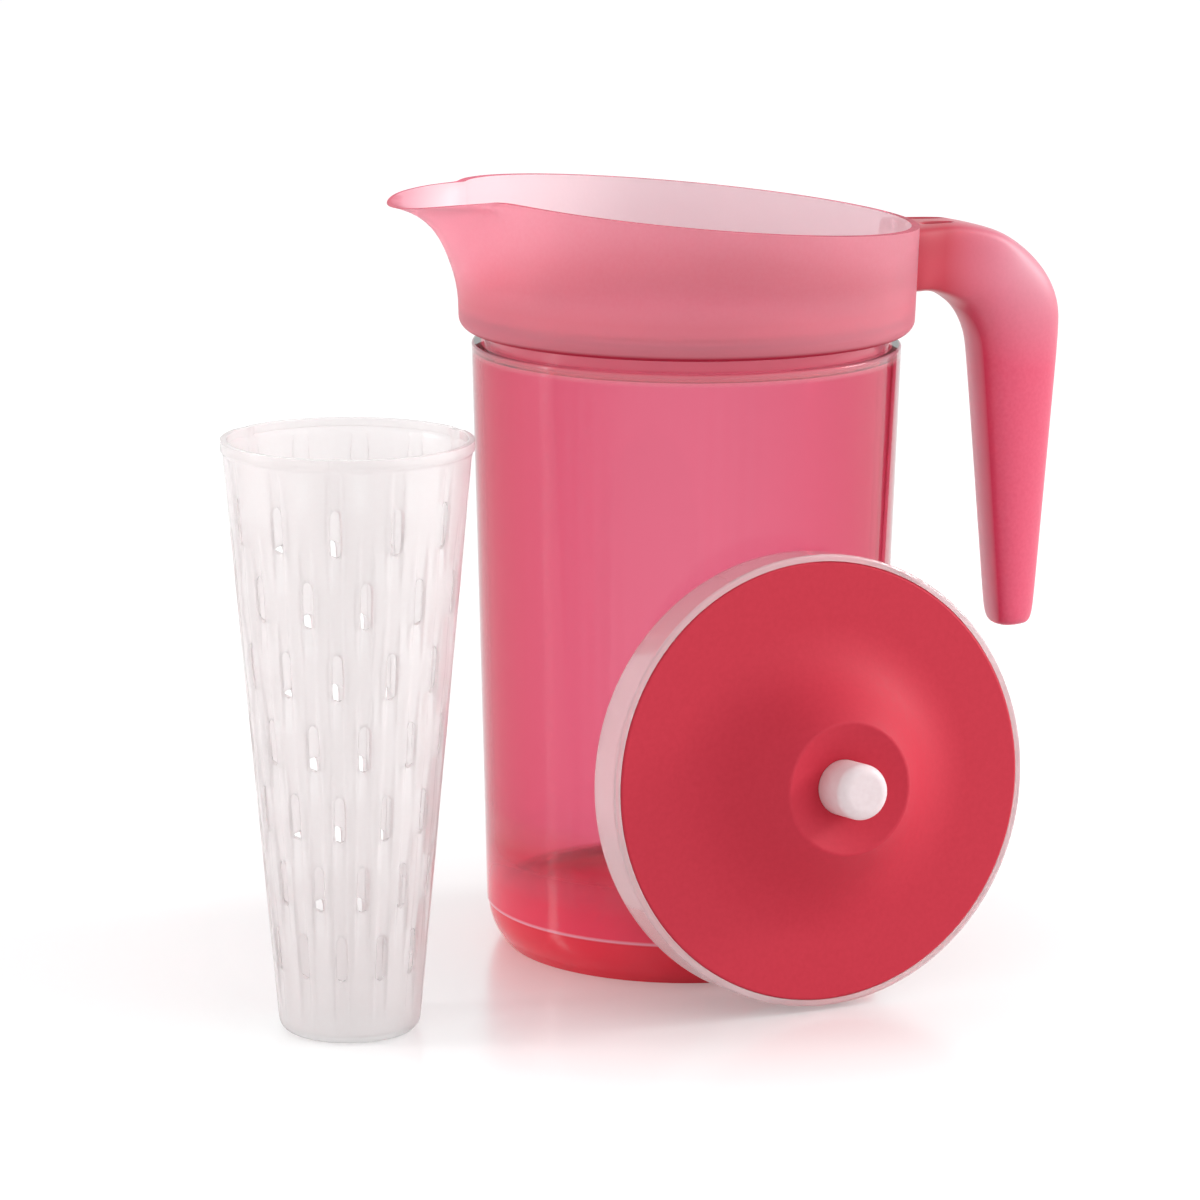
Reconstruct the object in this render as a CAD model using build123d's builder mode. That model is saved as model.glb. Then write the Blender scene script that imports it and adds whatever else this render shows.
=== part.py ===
"""Fruit infuser pitcher, in millimetres.

A clear tumbler carries a frosted collar with a spout and a hook handle. The lid, with its
seal, push button and infuser carrier, leans on the tumbler, and the infuser stands beside it.
+Z is up and +X points to the handle. The sketches are drawn about the tumbler's axis, and the
finished layout is then moved so that the origin is the middle of its box, on the table.
"""
import os
from math import cos, pi, radians, sin, tan

from build123d import *

# Tumbler
body_height = 187.5
body_top_radius = 65.5
body_base_radius = 60.4
body_wall = 2.8
body_shoulder_round = 0.8
foot_height = 13.0
foot_radius = 54.5
foot_land = 3.5
foot_step = 0.5
floor_top = 11.5
floor_wall = 3.0
floor_round = 5.0
neck_radius = 61.6
neck_wall = 2.6
neck_height = 6.0

# Collar and spout
collar_gap = 4.0
collar_height = 37.8
collar_radius = 69.3
collar_wall = 2.5
collar_draft = 1.9
collar_edge = 4.0
collar_floor = 2.0
collar_round = 1.5
press_clearance = 0.05
gasket_height = 1.5
rim_slope = 5.0
rim_droop_start = 58.0
rim_droop_turn = 25.0
spout_reach = 92.8
spout_flare_share = 0.54
spout_flare_power = 1.4
spout_lip_power = 8.0
spout_sections = 8
spout_points = 9
spout_half_angle = 25.5
spout_lip_drop = 2.78
spout_trim = 0.6

# Handle
handle_reach = 121.8
handle_top_drop = 1.2
handle_root_height = 20.8
handle_root_width = 43.5
handle_root_depth = 8.0
handle_back_share = 0.76
handle_back_drop = 34.0
handle_inside_share = 0.34
handle_inside_drop = 20.0
handle_flare_share = 0.53
grip_depth_share = 0.57
grip_end_width = 14.5
grip_end_depth = 14.4
grip_end_inset = 7.0
handle_length = 128.5
grip_end_back_round = 4.0
grip_end_inside_round = 6.5
grip_taper = 1.4
handle_edge = 4.0
bend_fullness = 0.54
pocket_wall = 4.4
pocket_inset = 1.7
pocket_rib = 6.0
pocket_depth = 13.0
pocket_length = 14.0
pocket_width = 8.5
pocket_round = 1.2

# Lid
lid_azimuth = -82.6
lid_lean = 5.8
lid_shift = 5.0
lid_gap = 0.4
cover_radius = 65.1
cover_wall = 2.2
cover_edge = 0.8
bell_radius = 48.0
bell_pitch = 42.0
crest_radius = 19.5
crest_height = 18.0
crest_round = 1.2
crest_wall = 3.3
crater_depth = 4.0
seal_wall = 2.0
seal_height = 14.8
seal_web = 1.6
seal_edge = 0.8
seal_lip_drop = 0.4
seat_clearance = 0.05

# Push button
button_radius = 8.2
button_height = 10.0
button_round = 3.2
button_wall = 1.8
button_cap = 3.0
button_travel = 4.0
stem_radius = 3.5
stem_groove = 0.9
guide_clearance = 0.08
guide_wall = 2.0
guide_floor = 1.6
clip_height = 1.5
clip_radius = 6.5

# Bayonet between the lid and the infuser
bayonet_count = 3
bayonet_clearance = 0.5
carrier_wall = 2.4
carrier_plate = 2.0
carrier_inset = 0.4
lug_height = 1.8
notch_width = 5.0
bead_height = 3.5
bead_width = 0.6

# Infuser
infuser_x = -123.4
infuser_y = -67.9
infuser_height = 174.4
infuser_top_radius = 35.8
infuser_base_radius = 20.4
infuser_wall = 1.8
infuser_floor = 2.4
infuser_edge = 3.5
notch_azimuth = -107.8
slot_rows = 7
slots_per_row = 12
slot_width = 3.0
slot_length = 14.5
slot_first_height = 26.2
slot_pitch = 21.1
slot_azimuth = 10.0

# Heights and radii that follow from the sizes above
collar_bottom = body_height + collar_gap
neck_top = body_height + neck_height
lip_bottom = neck_top + gasket_height
collar_inside = lip_bottom + collar_floor
rim_height = collar_bottom + collar_height
spout_root_height = collar_inside + 2 * collar_round
rim_fall = tan(radians(rim_slope))
droop_height = rim_height + rim_droop_start * rim_fall
droop_span = spout_reach - rim_droop_start
droop_depth = droop_span * sin(radians(rim_slope)) + spout_lip_drop * cos(radians(rim_slope))
rim_droop_radius = (droop_span**2 + spout_lip_drop**2) / (2 * droop_depth)
spout_lip_height = droop_height - spout_lip_drop
spout_top = droop_height + rim_droop_radius * (1 - cos(radians(rim_slope))) + spout_trim
spout_step = (spout_top - spout_root_height) / (spout_sections - 1)
spout_heights = [spout_root_height + step * spout_step for step in range(spout_sections)]


def corner(sketch, x, y):
    """The sketch's vertex nearest to a point given in the sketch's own plane."""
    return sketch.vertices().sort_by_distance(Vector(x, y))[0]


def collar_radius_at(height):
    """Outer radius of the collar's round wall, which widens upwards by its draft."""
    return collar_radius + (height - collar_bottom) * tan(radians(collar_draft))


def collar_outline(height, inset):
    """The collar's plan at a height: a circle that swells into the spout. An inset gives the inside."""
    radius = collar_radius_at(height) - inset
    rise = max(height - spout_root_height, 0) / (spout_lip_height - spout_root_height)
    reach = spout_reach - collar_radius_at(spout_lip_height)
    lean = spout_flare_share * rise**spout_flare_power
    curl = (1 - spout_flare_share) * rise**spout_lip_power
    overhang = reach * (lean + curl)
    swell = []
    for step in range(spout_points):
        turn = spout_half_angle * (2 * step / (spout_points - 1) - 1)
        share = (1 + cos(pi * turn / spout_half_angle)) / 2
        swell.append(Vector(-radius - overhang * share, 0).rotate(Axis.Z, turn))
    leaving = Vector(0, -1).rotate(Axis.Z, -spout_half_angle)
    meeting = Vector(0, -1).rotate(Axis.Z, spout_half_angle)
    with BuildSketch(Plane.XY.offset(height)) as outline:
        with BuildLine():
            CenterArc((0, 0), radius, spout_half_angle - 180, 360 - 2 * spout_half_angle)
            Spline(*swell, tangents=(leaving, meeting))
        make_face()
    return outline.sketch


# Tumbler: one turned profile, with a foot ring under a raised floor and a neck above a shoulder
foot_inside = foot_radius - foot_land
with BuildPart() as pitcher_body:
    with BuildSketch(Plane.XZ) as profile:
        with BuildLine():
            Polyline((foot_inside, 0), (foot_radius, 0))
            TangentArc((body_base_radius - foot_step, foot_height), (foot_radius, 0), tangent=(0, -1))
            Polyline(
                (body_base_radius - foot_step, foot_height),
                (body_base_radius, foot_height),
                (body_top_radius, body_height),
                (neck_radius, body_height),
                (neck_radius, neck_top),
                (neck_radius - neck_wall, neck_top),
                (neck_radius - neck_wall, body_height - body_wall),
                (body_top_radius - body_wall, body_height - body_wall),
                (body_base_radius - body_wall, floor_top),
                (0, floor_top),
                (0, floor_top - floor_wall),
                (foot_inside, floor_top - floor_wall),
                (foot_inside, 0),
            )
        make_face()
        fillet(corner(profile, body_base_radius - body_wall, floor_top), floor_round)
        fillet(corner(profile, body_top_radius, body_height), body_shoulder_round)
    revolve(axis=Axis.Z)
pitcher_body.part.label = "pitcher_body"

# Gasket: a flat ring between the neck and the collar's lip
with BuildPart() as neck_gasket:
    with BuildSketch(Plane.XY.offset(neck_top)):
        Circle(neck_radius)
        Circle(neck_radius - neck_wall, mode=Mode.SUBTRACT)
    extrude(amount=gasket_height)
neck_gasket.part.label = "neck_gasket"

# Collar: a wall lofted from the round into the spout, hollowed, and a rim cut along a drooping line
with BuildPart() as collar_hollow:
    loft(sections=[collar_outline(height, collar_wall) for height in (collar_inside, spout_root_height)])
    fillet(collar_hollow.edges().group_by(Axis.Z)[0], collar_round)
    loft(sections=[collar_outline(height, collar_wall) for height in spout_heights])
with BuildPart() as spout_collar:
    loft(sections=[collar_outline(height, 0) for height in (collar_bottom, spout_root_height)])
    fillet(spout_collar.edges().group_by(Axis.Z)[0], collar_edge)
    loft(sections=[collar_outline(height, 0) for height in spout_heights])
    add(collar_hollow.part, mode=Mode.SUBTRACT)
    with BuildSketch(Plane.XY.offset(collar_bottom)):
        Circle(neck_radius + press_clearance)
    extrude(amount=lip_bottom - collar_bottom, mode=Mode.SUBTRACT)
    with BuildSketch(Plane.XY.offset(collar_bottom)):
        Circle(neck_radius - neck_wall)
    extrude(amount=spout_root_height - collar_bottom, mode=Mode.SUBTRACT)
    rim_end = spout_reach + collar_radius
    with BuildSketch(Plane.XZ):
        with BuildLine():
            rim_start = (rim_end, rim_height - rim_end * rim_fall)
            straight = Line(rim_start, (-rim_droop_start, droop_height))
            droop = JernArc(straight @ 1, straight % 1, rim_droop_radius, rim_droop_turn)
            Polyline(
                droop @ 1,
                (-rim_end, (droop @ 1).Y),
                (-rim_end, rim_end + spout_top),
                (rim_end, rim_end + spout_top),
                rim_start,
            )
        make_face()
    extrude(amount=rim_end, both=True, mode=Mode.SUBTRACT)
spout_collar.part.label = "spout_collar"

# Handle: its side outline and its flared plan crossed, rounded all along, with two pockets on top
handle_top = rim_height - collar_radius * rim_fall - handle_top_drop
handle_bottom = handle_top - handle_root_height
grip_end_height = handle_top - handle_length
handle_span = handle_reach - collar_radius
handle_back_bend = handle_span * handle_back_share
handle_inside_bend = handle_span * handle_inside_share
grip_depth = handle_span * grip_depth_share
root_x = collar_radius - handle_root_depth
flare_x = collar_radius + handle_span * handle_flare_share
back_bend_start = Vector(handle_reach - handle_back_bend, handle_top)
back_bend_end = Vector(handle_reach, handle_top - handle_back_drop)
back_end = Vector(handle_reach - grip_end_inset, grip_end_height)
inside_bend_end = Vector(handle_reach - grip_depth, handle_bottom - handle_inside_drop)
inside_bend_start = Vector(inside_bend_end.X - handle_inside_bend, handle_bottom)
inside_end = Vector(back_end.X - grip_end_depth, grip_end_height)
back_up = (back_bend_end - back_end).normalized() * handle_back_drop * bend_fullness
inside_up = (inside_bend_end - inside_end).normalized() * handle_inside_drop * bend_fullness
with BuildPart() as handle:
    with BuildSketch(Plane.XZ) as side:
        with BuildLine():
            Line((root_x, handle_top), back_bend_start)
            Bezier(
                back_bend_start,
                back_bend_start + Vector(handle_back_bend * bend_fullness, 0),
                back_bend_end + back_up,
                back_bend_end,
            )
            Polyline(back_bend_end, back_end, inside_end, inside_bend_end)
            Bezier(
                inside_bend_end,
                inside_bend_end + inside_up,
                inside_bend_start + Vector(handle_inside_bend * bend_fullness, 0),
                inside_bend_start,
            )
            Polyline(inside_bend_start, (root_x, handle_bottom), (root_x, handle_top))
        make_face()
        fillet(corner(side, back_end.X, back_end.Y), grip_end_back_round)
        fillet(corner(side, inside_end.X, inside_end.Y), grip_end_inside_round)
    extrude(amount=handle_root_width, both=True)
    with BuildSketch(Plane.XY.offset(grip_end_height)) as plan:
        taper_gain = (handle_top - grip_end_height) * tan(radians(grip_taper))
        root_side = handle_root_width / 2 - taper_gain
        with BuildLine():
            flare = TangentArc((flare_x, grip_end_width / 2), (root_x, root_side), tangent=(-1, 0))
            Polyline(
                flare @ 1,
                (root_x - handle_root_depth, root_side),
                (root_x - handle_root_depth, 0),
                (handle_reach + grip_depth, 0),
                (handle_reach + grip_depth, grip_end_width / 2),
                flare @ 0,
            )
        make_face()
        mirror(about=Plane.XZ)
    extrude(amount=handle_top - grip_end_height, taper=-grip_taper, mode=Mode.INTERSECT)
    flank_edges = handle.edges().filter_by(lambda edge: abs(edge.center().Y) > grip_end_width / 4)
    fillet(flank_edges.filter_by(lambda edge: edge.center().X > collar_radius), handle_edge)
    with BuildSketch(Plane.XY.offset(handle_bottom - handle_edge)):
        Circle(collar_radius_at(handle_bottom - handle_edge) + press_clearance)
    extrude(amount=handle_root_height + 2 * handle_edge, taper=-collar_draft, mode=Mode.SUBTRACT)
    pocket_start = collar_radius_at(handle_top) + pocket_inset
    with BuildSketch(Plane.XY.offset(handle_top)) as pockets:
        with BuildLine():
            Polyline(
                (pocket_start, pocket_rib / 2),
                (pocket_start, pocket_rib / 2 + pocket_width),
                (pocket_start + pocket_length, grip_end_width / 2 + taper_gain - pocket_wall),
                (pocket_start + pocket_length, pocket_rib / 2),
                close=True,
            )
        make_face()
        fillet(pockets.vertices(), pocket_round)
        mirror(about=Plane.XZ)
    extrude(amount=-pocket_depth, mode=Mode.SUBTRACT)
handle.part.label = "handle"

# Lid's place: its seal stands on the ground and its top leans on the tumbler
seal_radius = cover_radius + seat_clearance + seal_wall
lean, turn = radians(lid_lean), radians(lid_azimuth)
lean_height = 2 * seal_radius * cos(lean)
body_slope = (body_top_radius - body_base_radius) / (body_height - foot_height)
lean_radius = body_base_radius + (lean_height - foot_height) * body_slope
lid_distance = lean_radius + lid_gap + seal_height * cos(lean) + seal_radius * sin(lean)
lid_across = Vector(-sin(turn), cos(turn), 0)
lid_out = Vector(cos(turn) * cos(lean), sin(turn) * cos(lean), sin(lean))
lid_centre = lid_across * lid_shift + Vector(
    lid_distance * cos(turn),
    lid_distance * sin(turn),
    seal_radius * cos(lean) + seal_height * sin(lean),
)
lid_side = Plane(lid_centre, x_dir=lid_across, z_dir=lid_across.cross(lid_out))
lid_axis = Axis(lid_centre, lid_out)

# Levels in the lid, measured along its axis from the cover's flat face
web_bottom = -cover_wall - seal_web
plate_bottom = web_bottom - carrier_plate
guide_bottom = plate_bottom - seat_clearance
crater_height = crest_height - crater_depth
guide_radius = button_radius + guide_clearance
guide_outside = guide_radius + guide_wall

# Cover: a flat rim that rises in a bell to a crater, with the button's guide under it
with BuildPart() as lid_cover:
    with BuildSketch(lid_side) as profile:
        bell_up = (-cos(radians(bell_pitch)), sin(radians(bell_pitch)))
        with BuildLine():
            Spline((bell_radius, 0), (crest_radius, crest_height), tangents=((-1, 0), bell_up))
            Polyline(
                (crest_radius, crest_height),
                (guide_radius, crater_height),
                (guide_radius, guide_bottom + guide_floor),
                (stem_radius + guide_clearance, guide_bottom + guide_floor),
                (stem_radius + guide_clearance, guide_bottom),
                (guide_outside, guide_bottom),
                (guide_outside, crater_height - cover_wall),
                (guide_outside + guide_wall, crater_height - cover_wall),
                (crest_radius, crest_height - crest_wall),
            )
            Spline(
                (bell_radius, -cover_wall),
                (crest_radius, crest_height - crest_wall),
                tangents=((-1, 0), bell_up),
            )
            Polyline((bell_radius, -cover_wall), (cover_radius, -cover_wall), (cover_radius, 0), (bell_radius, 0))
        make_face()
        fillet(corner(profile, crest_radius, crest_height), crest_round)
        fillet(corner(profile, cover_radius, 0), cover_edge)
    revolve(axis=lid_axis)
lid_cover.part.label = "lid_cover"

# Seal: a lip round the cover's edge, a skirt that grips the collar and a web clamped at the guide
with BuildPart() as lid_seal:
    with BuildSketch(lid_side) as profile:
        with BuildLine():
            Polyline(
                (seal_radius, -seal_lip_drop),
                (seal_radius, -seal_height),
                (seal_radius - seal_wall, -seal_height),
                (seal_radius - seal_wall, web_bottom),
                (guide_outside + seat_clearance, web_bottom),
                (guide_outside + seat_clearance, -cover_wall),
                (cover_radius + seat_clearance, -cover_wall),
                (cover_radius + seat_clearance, -seal_lip_drop),
                close=True,
            )
        make_face()
        fillet(corner(profile, seal_radius, -seal_lip_drop), seal_edge)
        fillet(corner(profile, seal_radius, -seal_height), seal_edge)
    revolve(axis=lid_axis)
lid_seal.part.label = "lid_seal"

# Infuser carrier: a plate under the web with a ring whose lugs catch the infuser's bead
bead_radius = infuser_top_radius + bead_width
carrier_inside = bead_radius + bayonet_clearance
carrier_bottom = carrier_inset - seal_height
with BuildPart() as infuser_carrier:
    with BuildSketch(lid_side):
        with BuildLine():
            Polyline(
                (guide_outside + seat_clearance, web_bottom),
                (carrier_inside + carrier_wall, web_bottom),
                (carrier_inside + carrier_wall, carrier_bottom),
                (carrier_inside, carrier_bottom),
                (carrier_inside, plate_bottom),
                (guide_outside + seat_clearance, plate_bottom),
                close=True,
            )
        make_face()
    revolve(axis=lid_axis)
    with BuildSketch(Plane(lid_centre + lid_out * carrier_bottom, x_dir=lid_across, z_dir=lid_out)):
        with PolarLocations(carrier_inside, bayonet_count):
            Rectangle(2 * carrier_wall, notch_width - 2 * bayonet_clearance)
        Circle(carrier_inside + carrier_wall / 2, mode=Mode.INTERSECT)
        Circle(bead_radius - bead_width + bayonet_clearance / 2, mode=Mode.SUBTRACT)
    extrude(amount=lug_height)
infuser_carrier.part.label = "infuser_carrier"

# Push button: a hollow cap on a stem with a groove for its clip
button_top = crest_height + button_height
button_bottom = guide_bottom + guide_floor + button_travel + button_wall
clip_top = guide_bottom - seat_clearance
clip_bottom = clip_top - clip_height
with BuildPart() as push_button:
    with BuildSketch(lid_side) as profile:
        with BuildLine():
            Polyline(
                (0, button_top),
                (button_radius, button_top),
                (button_radius, button_bottom),
                (button_radius - button_wall, button_bottom),
                (button_radius - button_wall, button_top - button_cap),
                (stem_radius, button_top - button_cap),
                (stem_radius, clip_top),
                (stem_radius - stem_groove, clip_top),
                (stem_radius - stem_groove, clip_bottom),
                (stem_radius, clip_bottom),
                (stem_radius, clip_bottom - stem_groove),
                (0, clip_bottom - stem_groove),
                close=True,
            )
        make_face()
        fillet(corner(profile, button_radius, button_top), button_round)
    revolve(axis=lid_axis)
push_button.part.label = "push_button"

# Clip: a ring in the stem's groove that stops the button under its guide
with BuildPart() as button_clip:
    with BuildSketch(Plane(lid_centre + lid_out * clip_bottom, x_dir=lid_across, z_dir=lid_out)):
        Circle(clip_radius)
        Circle(stem_radius - stem_groove + seat_clearance, mode=Mode.SUBTRACT)
    extrude(amount=clip_height)
button_clip.part.label = "button_clip"

# Infuser: a tapered cup with a notched bead, pierced by rows of slots that step half a pitch
infuser_foot = Vector(infuser_x, infuser_y, 0)
slot_planes = []
for row in range(slot_rows):
    step = 360 / slots_per_row
    row_turn = slot_azimuth + step / 2 * ((slot_rows - 1 - row) % 2)
    row_centre = infuser_foot + Vector(0, 0, slot_first_height + row * slot_pitch)
    for pair in range(slots_per_row // 2):
        facing = radians(row_turn + pair * step)
        slot_planes.append(Plane(row_centre, x_dir=(0, 0, 1), z_dir=(cos(facing), sin(facing), 0)))
with BuildPart() as infuser_cup:
    with BuildSketch(Plane(infuser_foot, x_dir=(1, 0, 0), z_dir=(0, -1, 0))) as profile:
        with BuildLine():
            Polyline(
                (0, 0),
                (infuser_base_radius, 0),
                (infuser_top_radius, infuser_height - bead_height),
                (bead_radius, infuser_height - bead_height),
                (bead_radius, infuser_height),
                (infuser_top_radius - infuser_wall, infuser_height),
                (infuser_base_radius - infuser_wall, infuser_floor),
                (0, infuser_floor),
                close=True,
            )
        make_face()
        fillet(corner(profile, infuser_base_radius, 0), infuser_edge)
        fillet(corner(profile, infuser_base_radius - infuser_wall, infuser_floor), infuser_edge - infuser_wall)
    revolve(axis=Axis(infuser_foot, (0, 0, 1)))
    with BuildSketch(*slot_planes):
        SlotOverall(slot_length, slot_width)
    extrude(amount=bead_radius, both=True, mode=Mode.SUBTRACT)
    with BuildSketch(Plane(infuser_foot + Vector(0, 0, infuser_height))):
        with PolarLocations(bead_radius, bayonet_count, start_angle=notch_azimuth):
            Rectangle(2 * bead_width, notch_width)
    extrude(amount=-bead_height, mode=Mode.SUBTRACT)
infuser_cup.part.label = "infuser_cup"

pieces = [
    pitcher_body,
    neck_gasket,
    spout_collar,
    handle,
    lid_cover,
    lid_seal,
    infuser_carrier,
    push_button,
    button_clip,
    infuser_cup,
]
layout = Compound([piece.part for piece in pieces]).bounding_box().center()
os.makedirs("parts", exist_ok=True)
for piece in pieces:
    placed = piece.part.moved(Location((-layout.X, -layout.Y, 0)))
    placed.label = piece.part.label
    export_step(placed, "parts/" + placed.label + ".step")
    print(placed.label, round(placed.volume / 1000, 2), "cm3")
print("layout centre", round(layout.X, 4), round(layout.Y, 4))
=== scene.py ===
# %% [markdown]
# # A fruit infuser pitcher
#
# The object is a clear pink tumbler with a frosted collar, spout and handle. Its red lid leans
# against it, and the slotted infuser cup stands beside it. The measured solids arrive as a
# fixed frame in metres, and this lesson dresses them: camera, finishes, fine pieces and studio.

# %% Load the frame
import math

import bmesh
import bpy
from mathutils import Matrix, Vector
from mathutils.geometry import interpolate_bezier


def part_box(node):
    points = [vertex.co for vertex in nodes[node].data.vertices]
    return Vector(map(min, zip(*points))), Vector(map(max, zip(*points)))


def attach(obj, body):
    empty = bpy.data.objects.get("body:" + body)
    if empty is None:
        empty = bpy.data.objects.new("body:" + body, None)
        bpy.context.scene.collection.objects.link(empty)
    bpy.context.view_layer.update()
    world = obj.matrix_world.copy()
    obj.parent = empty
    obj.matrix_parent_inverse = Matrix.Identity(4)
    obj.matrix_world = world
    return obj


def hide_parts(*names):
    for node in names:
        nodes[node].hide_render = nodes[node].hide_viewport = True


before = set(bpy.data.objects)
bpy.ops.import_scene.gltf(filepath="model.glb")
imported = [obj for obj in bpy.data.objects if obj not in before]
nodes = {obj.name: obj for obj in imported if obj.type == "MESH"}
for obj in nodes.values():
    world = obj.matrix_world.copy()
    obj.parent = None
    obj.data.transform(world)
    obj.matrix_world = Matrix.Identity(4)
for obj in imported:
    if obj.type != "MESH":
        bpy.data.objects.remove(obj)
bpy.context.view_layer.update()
print("nodes", sorted(nodes))

# %% [markdown]
# ## Where things stand
#
# Every later step needs two places: the tumbler's upright axis and the infuser's. Both are read
# from the boxes of the solids, so that nothing has to be measured twice.

# %% Axes of the tumbler and the infuser
def middle_of(node):
    low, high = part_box(node)
    return (low + high) / 2


tumbler_axis = middle_of("pitcher_body")
tumbler_axis.z = 0.0
infuser_axis = middle_of("infuser_cup")
infuser_axis.z = 0.0
print("tumbler axis", tumbler_axis, "infuser axis", infuser_axis)

# %% [markdown]
# ## The camera
#
# A product photographer stands back and uses a long lens, so that the tumbler's sides stay
# nearly parallel. The camera looks a little down, from slightly left of the handle's plane.
# Its axes are built one by one, because that shows what a camera's rotation really is: right,
# up and backwards as the three columns of a matrix.

# %% Camera
camera_offset = Vector((-0.4632, -1.4268, 0.4218))
look_turn = math.radians(17.0)
look_down = math.radians(11.87)
roll = math.radians(-0.37)
lens_length = 149.26
sensor_width = 36.0

forward = Vector((
    math.sin(look_turn) * math.cos(look_down),
    math.cos(look_turn) * math.cos(look_down),
    -math.sin(look_down),
))
level_right = Vector((math.cos(look_turn), -math.sin(look_turn), 0.0))
level_down = forward.cross(level_right)
right = math.cos(roll) * level_right + math.sin(roll) * level_down
up = math.sin(roll) * level_right - math.cos(roll) * level_down
camera_data = bpy.data.cameras.new("camera")
camera_data.lens = lens_length
camera_data.sensor_width = sensor_width
camera = bpy.data.objects.new("camera", camera_data)
bpy.context.scene.collection.objects.link(camera)
turned = Matrix((right, up, -forward)).transposed().to_4x4()
camera.matrix_world = Matrix.Translation(tumbler_axis + camera_offset) @ turned
bpy.context.scene.camera = camera
print("camera at", tuple(round(v, 3) for v in camera.location))

# %% [markdown]
# ## Materials in nodes
#
# Every finish on this object is moulded plastic or silicone, and one Principled shader can be
# any of them. A number that is the same all over is set straight on the shader's socket, because
# an export keeps it there. The first helper makes such a material and returns the parts that a
# finish goes on with. The second puts it on one of the solids.

# %% A finish, and a solid that wears it
def new_finish(name, **sockets):
    material = bpy.data.materials.new(name)
    material.use_nodes = True
    tree = material.node_tree
    shader = tree.nodes["Principled BSDF"]
    for socket, value in sockets.items():
        title = socket.replace("_", " ").title().replace("Ior", "IOR")
        shader.inputs[title].default_value = value
    return material, tree, shader


def dress(node, material):
    piece = nodes[node]
    piece.data.materials.clear()
    piece.data.materials.append(material)
    print(node, "wears", material.name)


print("solids to dress", len(nodes))

# %% [markdown]
# ## Noise for what varies
#
# No moulded surface is quite even: its polish drifts a little. Noise on Object coordinates gives
# that. They are metres in this frame, so the same scale is the same grain on every piece, while
# Generated coordinates would stretch it with each piece's box. Noise seldom leaves the range from
# 0.3 to 0.7, so that range is spread over the whole change.

# %% Noise and roughness
noise_low, noise_high = 0.3, 0.7


def coordinate(tree, kind):
    return tree.nodes.new("ShaderNodeTexCoord").outputs[kind]


def spread(tree, socket, low, high, at_low=0.0, at_high=1.0):
    """Carry a value over from one range to another, and not past its ends."""
    change = tree.nodes.new("ShaderNodeMapRange")
    change.inputs["From Min"].default_value = low
    change.inputs["From Max"].default_value = high
    change.inputs["To Min"].default_value = at_low
    change.inputs["To Max"].default_value = at_high
    tree.links.new(socket, change.inputs["Value"])
    return change.outputs["Result"]


def noise_on_object(tree, scale, detail=2.0):
    noise = tree.nodes.new("ShaderNodeTexNoise")
    noise.inputs["Scale"].default_value = scale
    noise.inputs["Detail"].default_value = detail
    tree.links.new(coordinate(tree, "Object"), noise.inputs["Vector"])
    return noise.outputs["Fac"]


def varied_roughness(tree, shader, noise, smooth, rough):
    roughness = spread(tree, noise, noise_low, noise_high, smooth, rough)
    tree.links.new(roughness, shader.inputs["Roughness"])


print("noise is spread from", noise_low, "to", noise_high)

# %% [markdown]
# ## Measures of a place
#
# The tumbler, the collar and the handle change their shade from place to place, because their
# walls do: a thick wall is deep and a thin one pale. Colours painted on vertices could show
# that, but the solids' meshes are left alone. So nodes measure where a spot is: its height, its
# reach from the tumbler's axis, and how far it faces away from that axis, which tells the
# outside of a wall from its inside.

# %% Height, reach and facing
level_only = (1.0, 1.0, 0.0)


def vector_math(tree, operation, first, second=None):
    """A Vector Math node on one socket, and on a second socket or a fixed vector."""
    node = tree.nodes.new("ShaderNodeVectorMath")
    node.operation = operation
    tree.links.new(first, node.inputs[0])
    if isinstance(second, bpy.types.NodeSocket):
        tree.links.new(second, node.inputs[1])
    elif second is not None:
        node.inputs[1].default_value = second
    return node


def z_of(tree, vector):
    split = tree.nodes.new("ShaderNodeSeparateXYZ")
    tree.links.new(vector, split.inputs["Vector"])
    return split.outputs["Z"]


def height_of(tree):
    return z_of(tree, coordinate(tree, "Object"))


def distance_from(tree, spot):
    return vector_math(tree, "DISTANCE", coordinate(tree, "Object"), spot).outputs["Value"]


def arm_of(tree):
    """The level arm from the tumbler's axis."""
    from_axis = vector_math(tree, "SUBTRACT", coordinate(tree, "Object"), tumbler_axis)
    level = vector_math(tree, "MULTIPLY", from_axis.outputs["Vector"], level_only)
    return level.outputs["Vector"]


def reach_of(tree):
    return vector_math(tree, "LENGTH", arm_of(tree)).outputs["Value"]


def facing_out(tree):
    """1 where a surface faces straight away from the tumbler's axis, -1 where it faces it."""
    arm_way = vector_math(tree, "NORMALIZE", arm_of(tree)).outputs["Vector"]
    facing = vector_math(tree, "DOT_PRODUCT", arm_way, coordinate(tree, "Normal"))
    return facing.outputs["Value"]


print("reach is measured from", tuple(round(v, 4) for v in tumbler_axis))

# %% [markdown]
# ## From a measure to a shade
#
# A colour ramp turns a measure into a colour. Its alpha is a fourth number that is free for
# something else: here it says how clear the plastic is, or how strongly the colour covers. Where
# two measures meet, one colour is laid over the other with a Mix node.

# %% Ramps and layers
def ramp_by(tree, socket, stops):
    """A colour ramp on a value; each stop is a value and its red, green, blue and alpha."""
    low, high = stops[0][0], stops[-1][0]
    ramp = tree.nodes.new("ShaderNodeValToRGB")
    while len(ramp.color_ramp.elements) < len(stops):
        ramp.color_ramp.elements.new(0.5)
    for element, (at, colour) in zip(ramp.color_ramp.elements, stops):
        element.position = (at - low) / (high - low)
        element.color = colour
    tree.links.new(spread(tree, socket, low, high), ramp.inputs["Fac"])
    return ramp


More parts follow.
